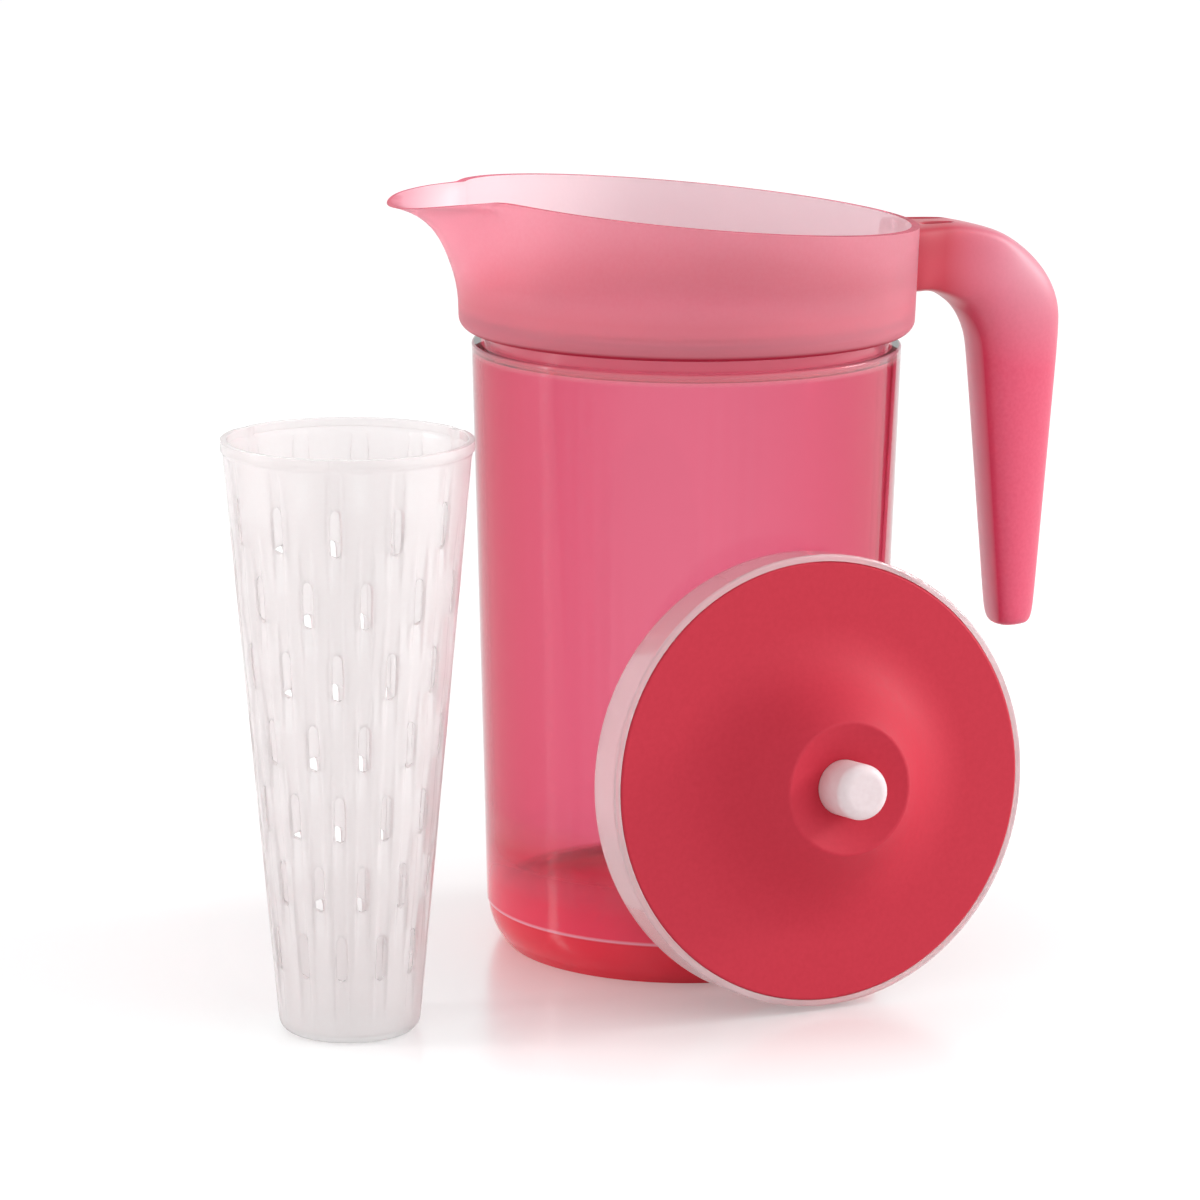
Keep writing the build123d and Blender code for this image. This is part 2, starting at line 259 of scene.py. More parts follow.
def lay_over(tree, shader, colour, cover):
    """Lay a colour, or a socket that gives one, over the shader's base colour so far."""
    mix = tree.nodes.new("ShaderNodeMix")
    mix.data_type = "RGBA"
    under = shader.inputs["Base Color"].links[0].from_socket
    tree.links.new(cover, mix.inputs["Factor"])
    tree.links.new(under, mix.inputs["A"])
    if isinstance(colour, bpy.types.NodeSocket):
        tree.links.new(colour, mix.inputs["B"])
    else:
        mix.inputs["B"].default_value = (*colour, 1.0)
    tree.links.new(mix.outputs["Result"], shader.inputs["Base Color"])


print("shades go by height, by reach and by facing")

# %% [markdown]
# ## Clear pink: the tumbler
#
# The tumbler is clear tinted plastic, so its colour comes from how far light travels in it: a
# wall seen face on is pink, and its edges are a deep red. Volume absorption does exactly that.
# The foot is different: up to the seam of the mould its outside scatters light, in a saturated
# red, and above that seam, a thin pale line, it clears over a few centimetres. The top under
# the collar is half clear and painted pale, as painted light for the light strip that shows
# under the collar. All this lies on the outer face. The inner face is clear down to the floor
# of the tumbler, and a slow noise gives the polish its slight unevenness.

# %% Shades of the tumbler
clear = (0.99, 0.96, 0.97, 1.0)
foot_red = (0.95, 0.045, 0.078, 0.08)
seam_pink = (1.0, 0.42, 0.52, 0.08)
# Painted light: the top under the collar is painted pale, for the light strip that shows there.
painted_top_light = (1.0, 0.42, 0.52, 0.6)
floor_pink = (1.0, 0.30, 0.38, 0.1)
outer_tints_and_top_light = (
    (0.0, foot_red), (0.0126, foot_red),
    (0.0129, seam_pink), (0.0133, seam_pink),
    (0.0137, (1.0, 0.065, 0.13, 0.12)),
    (0.0210, (1.0, 0.080, 0.15, 0.3)),
    (0.0340, (1.0, 0.22, 0.33, 0.85)),
    (0.0460, clear), (0.1835, clear),
    (0.1872, painted_top_light), (0.2, painted_top_light),
)
inner_shades = ((0.0, floor_pink), (0.0120, floor_pink), (0.0160, clear), (0.02, clear))
outside_from, outside_full = 0.0, 0.2
wall_tint = (0.83, 0.07, 0.29, 1.0)
tint_density = 390.0
print("tumbler shades", len(outer_tints_and_top_light), "outside and", len(inner_shades), "inside")

# %% Clear pink
clear_pink, tree, shader = new_finish("clear_pink", ior=1.3)
# The outer ramp carries the foot's tints and the painted light at the top.
outer = ramp_by(tree, height_of(tree), outer_tints_and_top_light)
inner = ramp_by(tree, height_of(tree), inner_shades)
outside = spread(tree, facing_out(tree), outside_from, outside_full)
tree.links.new(inner.outputs["Color"], shader.inputs["Base Color"])
lay_over(tree, shader, outer.outputs["Color"], outside)
clearness = tree.nodes.new("ShaderNodeMix")
tree.links.new(outside, clearness.inputs["Factor"])
tree.links.new(inner.outputs["Alpha"], clearness.inputs["A"])
tree.links.new(outer.outputs["Alpha"], clearness.inputs["B"])
tree.links.new(clearness.outputs["Result"], shader.inputs["Transmission Weight"])
varied_roughness(tree, shader, noise_on_object(tree, scale=14.0), smooth=0.02, rough=0.05)
tinted_depth = tree.nodes.new("ShaderNodeVolumeAbsorption")
tinted_depth.inputs["Color"].default_value = wall_tint
tinted_depth.inputs["Density"].default_value = tint_density
tree.links.new(tinted_depth.outputs["Volume"], tree.nodes["Material Output"].inputs["Volume"])
dress("pitcher_body", clear_pink)

# %% [markdown]
# ## Frosted pink: the collar and the handle
#
# The same tint with a fine spark-eroded surface: light still comes through, but scattered.
# Glass with a rough bump would glitter, so the scattering comes from rough transmission, and
# a tiny bump only adds the grain. The thick handle lets less light through than the thin collar
# and is deeper and shinier, so one function makes both finishes from their own numbers.

# %% Frosted pink
def mottled_colour(tree, shader, noise, dark, light):
    ramp = ramp_by(tree, noise, ((noise_low, (*dark, 1.0)), (noise_high, (*light, 1.0))))
    tree.links.new(ramp.outputs["Color"], shader.inputs["Base Color"])


def fine_bump(tree, shader, noise, depth):
    bump = tree.nodes.new("ShaderNodeBump")
    bump.inputs["Strength"].default_value = 1.0
    bump.inputs["Distance"].default_value = depth
    tree.links.new(noise, bump.inputs["Height"])
    tree.links.new(bump.outputs["Normal"], shader.inputs["Normal"])


def frosted(name, dark, light, **sockets):
    finish, tree, shader = new_finish(name, ior=1.15, coat_ior=1.5, **sockets)
    frost = noise_on_object(tree, scale=900.0, detail=3.0)
    mottled_colour(tree, shader, frost, dark, light)
    varied_roughness(tree, shader, frost, smooth=0.42, rough=0.52)
    fine_bump(tree, shader, frost, depth=0.00002)
    return finish


frosted_pink = frosted(
    "frosted_pink", (0.94, 0.42, 0.50), (0.96, 0.46, 0.54),
    transmission_weight=0.8, coat_weight=0.1, coat_roughness=0.3,
)
frosted_grip = frosted(
    "frosted_grip", (0.83, 0.075, 0.17), (0.87, 0.095, 0.195),
    transmission_weight=0.25, coat_weight=1.0, coat_roughness=0.45,
)
dress("spout_collar", frosted_pink)

# %% [markdown]
# The collar's inside is painted paler, as painted light for the light it catches from its open
# mouth. Whether a spot is inside is told by its facing: there it looks back at the tumbler's
# axis.
# The spout reaches further from the axis than the rest and is pink on both sides. The rim is a
# deep line. The lower edge is painted as a deep line of shade, and the skirt is painted deeper,
# as painted shade where the tumbler's neck lies behind it.

# %% Shades of the collar
# Painted light: the collar's inside is painted paler, for the light it catches from its open
# mouth.
painted_inside_light = (1.0, 0.90, 0.93)
spout_pink = (0.94, 0.46, 0.55)
rim_red = (0.70, 0.06, 0.13)
# Painted shade: a deep line along the collar's rounded lower edge, and a deeper skirt where the
# tumbler's neck lies behind it.
lower_edge_shade_red = (0.55, 0.025, 0.065, 1.0)
skirt_painted_shade = (
    (0.19, lower_edge_shade_red), (0.1924, lower_edge_shade_red),
    (0.1934, (0.84, 0.24, 0.31, 0.85)),
    (0.202, (0.84, 0.24, 0.31, 0.7)),
    (0.21, (0.85, 0.30, 0.38, 0.0)),
)
facing_in_at, facing_out_at = -0.3, 0.1
spout_from, spout_full = 0.072, 0.088
rim_from, rim_full = 0.95, 0.985
inside_clear, outside_clear, skirt_clear = 0.4, 0.8, 0.4

tree = frosted_pink.node_tree
shader = tree.nodes["Principled BSDF"]
# Painted light: surfaces that face the tumbler's axis get the pale inside colour.
lay_over(tree, shader, painted_inside_light, spread(tree, facing_out(tree), facing_out_at, facing_in_at))
lay_over(tree, shader, spout_pink, spread(tree, reach_of(tree), spout_from, spout_full))
facing_up = z_of(tree, coordinate(tree, "Normal"))
lay_over(tree, shader, rim_red, spread(tree, facing_up, rim_from, rim_full))
# Painted shade on the lower edge and the skirt, laid over by height.
skirt = ramp_by(tree, height_of(tree), skirt_painted_shade)
lay_over(tree, shader, skirt.outputs["Color"], skirt.outputs["Alpha"])
through = tree.nodes.new("ShaderNodeMath")
through.operation = "MULTIPLY"
side_clear = spread(
    tree, facing_out(tree), facing_in_at, facing_out_at, inside_clear, outside_clear,
)
tree.links.new(side_clear, through.inputs[0])
skirt_share = spread(tree, skirt.outputs["Alpha"], 0.0, 1.0, 1.0, skirt_clear)
tree.links.new(skirt_share, through.inputs[1])
tree.links.new(through.outputs["Value"], shader.inputs["Transmission Weight"])
print("collar: paler inside, deeper on its rim and at its lower edge")

# %% [markdown]
# The handle is deepest at its thick root. Where light would gather in it, round its bend and
# along the edge of the grip that faces the tumbler, it is painted pale: a painted highlight on
# the bend and painted light on the inner edge. Reach, distance from the middle of the bend and
# facing are enough to say where that is.

# %% Shades of the handle
handle_low, handle_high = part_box("handle")
root_red = (0.62, 0.025, 0.06)
# Painted highlight: a pale patch round the middle of the handle's bend.
painted_bend_highlight = (0.70, 0.40, 0.48)
# Painted light: the grip's edge that faces the tumbler is painted pale.
painted_inner_edge_light = (0.98, 0.62, 0.70)
bend_middle = tumbler_axis + Vector((0.112, 0.0, handle_high.z - 0.012))
bend_highlight_cover = 0.55
root_from, root_full = 0.100, 0.080
highlight_from, highlight_full = 0.036, 0.008
inner_light_from, inner_light_full = -0.72, -1.0

tree = frosted_grip.node_tree
shader = tree.nodes["Principled BSDF"]
lay_over(tree, shader, root_red, spread(tree, reach_of(tree), root_from, root_full))
# Painted highlight on the bend, fading with distance from its middle.
from_bend = distance_from(tree, bend_middle)
bend_highlight_mask = spread(tree, from_bend, highlight_from, highlight_full, 0.0, bend_highlight_cover)
lay_over(tree, shader, painted_bend_highlight, bend_highlight_mask)
# Painted light on the grip's inner edge, by how far it faces the tumbler's axis.
lay_over(tree, shader, painted_inner_edge_light, spread(tree, facing_out(tree), inner_light_from, inner_light_full))
print("handle: deeper at its root, paler at its bend and its inner edge")

# %% [markdown]
# ## Satin red: the lid's cover
#
# The cover is an opaque red plastic with a satin surface that lights up softly on the bell. A
# glossy shader would mirror the lamps and a matt one would look like paper, so the roughness
# lies between them and the specular level is low. The grain is fine enough to break up the
# edge of each highlight without being seen as dots.

# %% Satin red
satin_red, tree, shader = new_finish("satin_red", ior=1.46, specular_ior_level=0.3)
satin = noise_on_object(tree, scale=700.0, detail=3.0)
mottled_colour(tree, shader, satin, dark=(0.575, 0.026, 0.052), light=(0.605, 0.032, 0.060))
varied_roughness(tree, shader, satin, smooth=0.55, rough=0.65)
fine_bump(tree, shader, satin, depth=0.00003)
dress("lid_cover", satin_red)

# %% [markdown]
# ## Seal, gasket and button
#
# The seal is a soft milky ring with a wet shine, and the gasket is the same rubber, tinted and
# out of sight. Both let light through, and the seal's shine is a clear coat, because a smooth
# base would look like glass. The button, its clip and the carrier are white moulded
# plastic, which a little subsurface light keeps from looking like chalk.

# %% Seal and gasket
seal_silicone, tree, shader = new_finish(
    "seal_silicone", transmission_weight=0.6, ior=1.15, coat_weight=1.0, coat_roughness=0.08,
)
milk = noise_on_object(tree, scale=40.0)
mottled_colour(tree, shader, milk, dark=(0.99, 0.77, 0.79), light=(1.0, 0.81, 0.83))
varied_roughness(tree, shader, milk, smooth=0.16, rough=0.26)
dress("lid_seal", seal_silicone)

gasket_silicone, tree, shader = new_finish("gasket_silicone", transmission_weight=0.5, ior=1.15)
rubber = noise_on_object(tree, scale=60.0)
mottled_colour(tree, shader, rubber, dark=(0.92, 0.46, 0.54), light=(0.94, 0.50, 0.58))
varied_roughness(tree, shader, rubber, smooth=0.4, rough=0.5)
dress("neck_gasket", gasket_silicone)

# %% White plastic
white_plastic, tree, shader = new_finish(
    "white_plastic", ior=1.46, subsurface_weight=0.15,
    subsurface_radius=(0.002, 0.0016, 0.0015),
)
grain = noise_on_object(tree, scale=600.0)
mottled_colour(tree, shader, grain, dark=(0.84, 0.70, 0.72), light=(0.88, 0.75, 0.77))
varied_roughness(tree, shader, grain, smooth=0.34, rough=0.44)
for node in ("push_button", "button_clip", "infuser_carrier"):
    dress(node, white_plastic)

# %% [markdown]
# ## The handle
#
# The handle is a hook with full, rounded flanks that flares out where it meets the collar.
# Its solid has the right outline, but flat flanks, and flat flanks show no gradient of light.
# A curve with a bevel would give one section all along. So the handle is built again from
# cross-sections of its own: each lies between a point on the back of the hook and one on its
# inside. Two Bezier curves give those points along the bend, and straight lines along the grip.

# %% Outline of the handle
handle_top = handle_high.z
grip_end = handle_low.z
handle_reach = handle_high.x - tumbler_axis.x
root_depth = 0.0208
root_bottom = handle_top - root_depth
grip_taper = 0.007
grip_end_depth = 0.0144
bend_points = 9


def hook(reach, height):
    """A spot in the handle's own plane, by its reach from the tumbler's axis and its height."""
    return Vector((reach, 0.0, height))


back_bend = interpolate_bezier(
    hook(0.0819, handle_top), hook(0.1034, handle_top),
    hook(0.1232, handle_top - 0.0157), hook(handle_reach, handle_top - 0.034), bend_points,
)
inside_bend = interpolate_bezier(
    hook(0.0740, root_bottom), hook(0.0837, root_bottom),
    hook(0.0908, root_bottom - 0.0093), hook(0.0919, root_bottom - 0.02), bend_points,
)
back_end = hook(handle_reach - grip_taper, grip_end)
inside_end = hook(handle_reach - grip_taper - grip_end_depth, grip_end)
print("handle", round(handle_reach, 4), "m from the axis")

# %% [markdown]
# The grip widens slowly with its height, and seen from above, the root flares out in an arc
# towards the collar. One function gives half the width anywhere, so the sections and the
# pockets in the root agree.

# %% Width of the handle
grip_half_width = 0.00725
grip_slope = math.tan(math.radians(1.4))
flare_end = 0.0971
flare_radius = 0.0622


def handle_half_width(reach, height):
    flare = max(flare_end - reach, 0.0)
    flared = flare_radius - math.sqrt(flare_radius**2 - flare**2)
    return grip_half_width + flared + (height - grip_end) * grip_slope


print("grip", round(2 * handle_half_width(flare_end, grip_end), 4), "m wide at its end")

# %% [markdown]
# A station is where a section stands. Each has its point on the back and on the inside, its
# fullness, which is the power that rounds its corners, and a scale. The fullness falls from boxy
# at the root to nearly oval at the grip. The subdivision later draws the surface in a little, and
# the swell makes up for that. The last stations shrink, so that the grip ends in a round tip.

# %% Stations along the handle
root_fullness = 6.0
grip_fullness = 2.2
swell = 1.015
root_drop = 0.00005
root_reaches = ((0.0700, 0.0700), (0.0720, 0.0706), (0.0785, 0.0724), (0.0850, 0.0752))
first_bend_point = 2
points_to_round = 3
grip_shares = (0.25, 0.5, 0.75, 0.93, 0.97, 0.99, 1.0)
grip_scales = (1.0, 1.0, 1.0, 1.0, 0.96, 0.86, 0.66)
stations = []
for back_reach, inside_reach in root_reaches:
    back = hook(back_reach, handle_top - root_drop)
    stations.append((back, hook(inside_reach, root_bottom), root_fullness, 1.0))
for step in range(first_bend_point, bend_points):
    rounded = min((step - 1) / points_to_round, 1.0)
    fullness = root_fullness + (grip_fullness - root_fullness) * rounded
    stations.append((back_bend[step], inside_bend[step], fullness, swell))
for share, scale in zip(grip_shares, grip_scales):
    back = back_bend[-1].lerp(back_end, share)
    inside = inside_bend[-1].lerp(inside_end, share)
    stations.append((back, inside, grip_fullness, scale * swell))
print("stations", len(stations))

# %% [markdown]
# A section starts as points on the edge of a square and is pulled onto a rounded one. Its widest
# place lies nearer the inside, so that the flanks lean and catch the light from above. The first
# section is wrapped round the collar.

# %% Sections
rib_share = 0.22
pocket_share = 0.62
edge_share = 0.85
flank_lean = 0.35
collar_radius = 0.0693
collar_bottom = 0.1915
collar_slope = math.tan(math.radians(1.9))
collar_gap = 0.0001
across = (-edge_share, -pocket_share, -rib_share, rib_share, pocket_share, edge_share)
along = (edge_share, 0.5, 0.0, -0.5, -edge_share)
# p runs from the inside, -1, to the back, 1, and q from one flank to the other.
half_section = [(1.0, q) for q in across] + [(1.0, 1.0)]
half_section += [(p, 1.0) for p in along] + [(-1.0, 1.0)]
section = half_section + [(-p, -q) for p, q in half_section]

shape = bmesh.new()
crease = shape.edges.layers.float.new("crease_edge")
rings = []
loops = []
for back, inside, fullness, scale in stations:
    lean = flank_lean * (root_fullness - fullness) / (root_fullness - grip_fullness)
    ring = []
    for p, q in section:
        pull = (abs(p) ** fullness + abs(q) ** fullness) ** (-1 / fullness) * scale
        spot = (back + inside) / 2 + (back - inside) / 2 * p * pull
        side = q * pull * handle_half_width(spot.x, spot.z) * (1 - lean * p * pull)
        if not rings:
            wrap = collar_radius + (spot.z - collar_bottom) * collar_slope + collar_gap
            spot.x = math.sqrt(wrap**2 - side**2)
        ring.append(shape.verts.new(tumbler_axis + spot + Vector((0.0, side, 0.0))))
    rings.append(ring)
    loops.append([shape.edges.new(pair) for pair in zip(ring, ring[1:] + ring[:1])])
print("sections of", len(section), "points")

# %% [markdown]
# Bridging the sections gives the sides, and the tip is closed by one face. The root's end is
# filled column by column, because one large face would pucker when it is subdivided, and its
# edge is creased, so that the root stays sharp against the collar.

# %% Bridges and ends
for loop, next_loop in zip(loops, loops[1:]):
    bmesh.ops.bridge_loops(shape, edges=loop + next_loop)
bmesh.ops.contextual_create(shape, geom=loops[-1])
root_ring = rings[0]
top_count = len(across)
half_count = len(half_section)
upper = root_ring[:top_count]
lower = root_ring[half_count:half_count + top_count][::-1]
for column in range(top_count - 1):
    next_column = column + 1
    shape.faces.new((upper[column], upper[next_column], lower[next_column], lower[column]))
shape.faces.new(root_ring[top_count - 1:half_count + 1])
shape.faces.new(root_ring[half_count + top_count - 1:] + root_ring[:1])
for edge in loops[0]:
    edge[crease] = 1.0
bmesh.ops.recalc_face_normals(shape, faces=shape.faces)
print("handle sheet", len(shape.faces), "faces")

# %% [markdown]
# Two pockets are sunk into the top of the root, either side of a rib, so that the moulding
# doesn't shrink there. A boolean would cut across the faces. The sections already have columns
# where the pockets lie, so an inset gives each its rim, and the faces inside it go down.

# %% Pockets
pocket_start, pocket_end = 0.072, 0.085
pocket_rim = 0.0005
pocket_lip = 0.0003
pocket_lip_drop = 0.0008
pocket_depth = 0.011
level_enough = 0.9


def is_pocket(face):
    middle = face.calc_center_median() - tumbler_axis
    sideways = abs(middle.y) / handle_half_width(middle.x, handle_top)
    on_top = face.normal.z > level_enough and pocket_start < middle.x < pocket_end
    return on_top and rib_share < sideways < pocket_share


pocket_faces = [face for face in shape.faces if is_pocket(face)]
bmesh.ops.inset_region(shape, faces=pocket_faces, thickness=pocket_rim)
bmesh.ops.inset_region(
    shape, faces=pocket_faces, thickness=pocket_lip, depth=-pocket_lip_drop,
)
sunk = bmesh.ops.extrude_face_region(shape, geom=pocket_faces)
bmesh.ops.delete(shape, geom=pocket_faces, context="FACES_KEEP_BOUNDARY")
pocket_floor = [item for item in sunk["geom"] if isinstance(item, bmesh.types.BMVert)]
bmesh.ops.translate(shape, verts=pocket_floor, vec=(0.0, 0.0, -pocket_depth))
print("pockets", len(pocket_faces), "faces sunk")

# %% [markdown]
# The sheet becomes an object, and a Subdivision Surface rounds it. The piece stands for the
# solid handle and moves with the pitcher.

# %% The finished handle
def new_piece(name, shape):
    """An object from a bmesh, shaded smooth, at the origin."""
    for face in shape.faces:
        face.smooth = True
    mesh = bpy.data.meshes.new(name)
    shape.to_mesh(mesh)
    shape.free()
    piece = bpy.data.objects.new(name, mesh)
    bpy.context.scene.collection.objects.link(piece)
    return piece


def subdivide(piece, levels):
    rounding = piece.modifiers.new("rounding", "SUBSURF")
    rounding.levels = levels
    rounding.render_levels = levels


full_handle = new_piece("full_handle", shape)
full_handle.data.materials.append(frosted_grip)
subdivide(full_handle, 2)
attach(full_handle, "pitcher")
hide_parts("handle")
print("handle", len(full_handle.data.polygons), "faces before its modifier")

# %% [markdown]
# ## The infuser cup
#
# The infuser is a thin tapered cup, pierced by seven rows of twelve slots that step half a
# pitch from row to row. Each slot sits in a shallow flute that runs out above and below it.
# Cutting 84 holes with booleans would leave ragged triangles, so the cup is spun as a sheet
# whose rows and columns already follow the slots. The columns come in sixes: the plain land, the
# flute's edge, the slot's edge, the slot's middle, and the two edges again on its far side.

# %% Sizes of the infuser
cup_low, cup_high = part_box("infuser_cup")
cup_height = cup_high.z - cup_low.z
bead_radius = (cup_high.x - cup_low.x) / 2
bead_width = 0.0006
bead_height = 0.0035
cup_mouth_radius = bead_radius - bead_width
cup_foot_radius = 0.0204
cup_foot_round = 0.0035
cup_wall = 0.0018
slot_rows = 7
slots_per_row = 12
slot_width = 0.003
slot_length = 0.0145
slot_end = 0.0056
first_slot_height = 0.0262
slot_pitch = 0.0211
slot_azimuth = math.radians(10.0)
flutes = 2 * slots_per_row
flute_turn = 2 * math.pi / flutes
flute_width = 0.0040
flute_depth = 0.0008
flute_sharpness = 0.75
flute_fade = 0.0125
slot_centres = [first_slot_height + row * slot_pitch for row in range(slot_rows)]
bead_bottom = cup_height - bead_height
cup_slope = (cup_mouth_radius - cup_foot_radius) / bead_bottom
print("infuser", round(cup_height, 4), "m high, slots at", [round(z, 4) for z in slot_centres])

# %% [markdown]
# The profile runs from the middle of the foot round its corner, up the wall with one vertex at
# each height that a slot needs, and ends in a small bead at the mouth.

# %% Profile of the infuser
foot_shares = (0.0, 0.5, 0.9)
foot_round_steps = 4
bead_corners = (0.0004, 0.0012)
bead_top_corner = 0.0005
below_bead = 0.0008
top_land_share = 0.75


def cup_radius(height):
    return cup_foot_radius + height * cup_slope


def wall_heights():
    heights = [first_slot_height - flute_fade - slot_length / 2]
    heights.append(first_slot_height - slot_pitch / 2)
    for centre in slot_centres:
        heights += [centre - slot_length / 2, centre - slot_end, centre, centre + slot_end]
        heights += [centre + slot_length / 2, centre + slot_pitch / 2]
    heights.append(slot_centres[-1] + slot_pitch * top_land_share)
    return heights + [bead_bottom - below_bead, bead_bottom]


def cup_profile():
    lean = math.atan(cup_slope)
    arc_x = cup_radius(cup_foot_round) - cup_foot_round / math.cos(lean)
    points = [(arc_x * share, 0.0) for share in foot_shares]
    for step in range(foot_round_steps + 1):
        turn = (math.pi / 2 - lean) * step / foot_round_steps
        points.append((
            arc_x + cup_foot_round * math.sin(turn),
            cup_foot_round - cup_foot_round * math.cos(turn),
        ))
    points += [(cup_radius(height), height) for height in wall_heights()]
    points += [(bead_radius, bead_bottom + corner) for corner in bead_corners]
    return points + [(bead_radius, cup_height - bead_top_corner), (bead_radius, cup_height)]


print("profile", len(cup_profile()), "points")

# %% [markdown]
# A spin carries the profile once round the axis. Its first and last copy meet, and so do all
# copies of the point in the middle of the foot, so both are merged before the normals are set.

# %% Spun sheet
columns_per_flute = 6
columns = columns_per_flute * flutes
same_place = 1e-6

shape = bmesh.new()
strand = [shape.verts.new(infuser_axis + Vector((r, 0.0, z))) for r, z in cup_profile()]
for below, above in zip(strand, strand[1:]):
    shape.edges.new((below, above))
bmesh.ops.spin(
    shape, geom=shape.verts[:] + shape.edges[:], cent=infuser_axis, axis=(0.0, 0.0, 1.0),
    angle=2 * math.pi, steps=columns, use_merge=True,
)
bmesh.ops.remove_doubles(shape, verts=shape.verts, dist=same_place)
bmesh.ops.recalc_face_normals(shape, faces=shape.faces)
print("spun sheet", len(shape.faces), "faces")

# %% [markdown]
# Now every vertex learns its flute and its place in it from its azimuth, and moves to where that
# place belongs. Slots keep their width although the cup narrows, so a step sideways is a length
# divided by the radius. Vertices in a flute also move a little inwards, most beside a slot.

# %% Flutes
land, flute_edge, slot_edge, slot_middle, far_slot_edge, far_flute_edge = range(columns_per_flute)
in_slot = (slot_edge, slot_middle, far_slot_edge)
touching = 1e-5
side_steps = {
    flute_edge: -flute_width / 2, slot_edge: -slot_width / 2, slot_middle: 0.0,
    far_slot_edge: slot_width / 2, far_flute_edge: flute_width / 2,
}


def centres_on(flute):
    """The heights of a flute's own slots: every second row."""
    own_rows = [row for row in range(slot_rows) if (slot_rows - 1 - row) % 2 == flute % 2]
    return [slot_centres[row] for row in own_rows]


def flute_depth_at(flute, height):
    beyond = min(abs(height - centre) for centre in centres_on(flute)) - slot_length / 2
    return flute_depth * min(max(1 - beyond / flute_fade, 0.0), 1.0)


def stand_at(vert, radius, facing):
    vert.co.x = infuser_axis.x + radius * math.cos(facing)
    vert.co.y = infuser_axis.y + radius * math.sin(facing)


place_of = {}
for vert in shape.verts:
    arm = vert.co - infuser_axis
    radius = math.hypot(arm.x, arm.y)
    if radius < touching:
        continue
    column = round(math.atan2(arm.y, arm.x) / (2 * math.pi / columns)) % columns
    flute, place = divmod(column + slot_middle, columns_per_flute)
    place_of[vert] = flute, place
    if place == land:
        turn = -flute_turn / 2
    else:
        turn = side_steps[place] / max(radius, cup_foot_radius)
    depth = 0.0
    if place in in_slot and arm.z < bead_bottom - below_bead / 2:
        depth = flute_depth_at(flute, arm.z)
    stand_at(vert, radius - depth, slot_azimuth + flute * flute_turn + turn)
print("flutes", flutes)

# %% [markdown]
# A subdivision would blur the flutes into waves. A crease along their edges and along the slots'
# edges keeps them crisp.

# %% Crisp flutes
crisp_places = (flute_edge, slot_edge, far_slot_edge, far_flute_edge)
crease = shape.edges.layers.float.new("crease_edge")
crisp_edges = 0
for edge in shape.edges:
    one_end, other_end = [place_of.get(vert) for vert in edge.verts]
    if one_end is not None and one_end == other_end and one_end[1] in crisp_places:
        edge[crease] = flute_sharpness
        crisp_edges += 1
print("creased edges", crisp_edges)

# %% [markdown]
# A slot is the two columns of faces between its edges, taken away between its two ends. Its
# four corner vertices are drawn in, so that the subdivision rounds the ends.

# %% Slots
corner_draw = 0.0010
corner_share = 0.72
faces_per_slot = 8


def slot_centre_at(flute, height):
    for centre in centres_on(flute):
        if abs(height - centre) < slot_length / 2 + touching:
            return centre
    return None


def turn_from(azimuth, arm):
    """The turn from an azimuth to an arm, half a turn at most."""
    return (math.atan2(arm.y, arm.x) - azimuth + math.pi) % (2 * math.pi) - math.pi


open_faces = []
for face in shape.faces:
    placed = [place_of.get(vert) for vert in face.verts]
    if None in placed or any(place not in in_slot for flute, place in placed):
        continue
    if slot_centre_at(placed[0][0], face.calc_center_median().z) is not None:
        open_faces.append(face)
for vert, (flute, place) in place_of.items():
    centre = slot_centre_at(flute, vert.co.z)
    if place not in (slot_edge, far_slot_edge) or centre is None:
        continue
    lift = vert.co.z - centre
    if abs(abs(lift) - slot_length / 2) < touching:
        arm = vert.co - infuser_axis
        middle_turn = slot_azimuth + flute * flute_turn
        facing = middle_turn + turn_from(middle_turn, arm) * corner_share
        stand_at(vert, math.hypot(arm.x, arm.y), facing)
        vert.co.z -= math.copysign(corner_draw, lift)
bmesh.ops.delete(shape, geom=open_faces, context="FACES")
print("slots", len(open_faces) // faces_per_slot)

# %% [markdown]
# The mouth's bead has three small notches, where the lid's lugs pass. There the bead's vertices
# go back to the wall.

# %% Notches
notch_count = 3
notch_azimuth = math.radians(-107.8)
notch_half_width = 0.0026
notched = 0
for vert in shape.verts:
    arm = vert.co - infuser_axis
    radius = math.hypot(arm.x, arm.y)
    if radius < cup_mouth_radius + bead_width / 2:
        continue
    for notch in range(notch_count):
        away = turn_from(notch_azimuth + notch * 2 * math.pi / notch_count, arm)
        if abs(away) * radius < notch_half_width:
            stand_at(vert, cup_mouth_radius, math.atan2(arm.y, arm.x))
            notched += 1
print("notches", notch_count, "with", notched, "vertices")

# %% [markdown]
# The sheet is then ready. It has to face outwards, because Solidify gives the wall inwards from
# it. One subdivision rounds the slots before that, and a narrow Bevel afterwards gives every rim
# the thin light outline that moulded edges have. The piece stands for the solid cup.

# %% Wall and rims
rim_width = 0.00025
rim_angle = math.radians(50.0)
top_face = max(shape.faces, key=lambda face: face.calc_center_median().z)
if top_face.normal.dot(top_face.calc_center_median() - infuser_axis) < 0:
    bmesh.ops.reverse_faces(shape, faces=shape.faces)
fluted_infuser = new_piece("fluted_infuser", shape)
subdivide(fluted_infuser, 1)
thickness = fluted_infuser.modifiers.new("wall", "SOLIDIFY")
thickness.thickness = cup_wall
thickness.offset = -1.0
rims = fluted_infuser.modifiers.new("rims", "BEVEL")
rims.width = rim_width
rims.segments = 2
rims.limit_method = "ANGLE"
rims.angle_limit = rim_angle
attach(fluted_infuser, "infuser")
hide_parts("infuser_cup")
print("infuser", len(fluted_infuser.data.polygons), "faces before its modifiers")

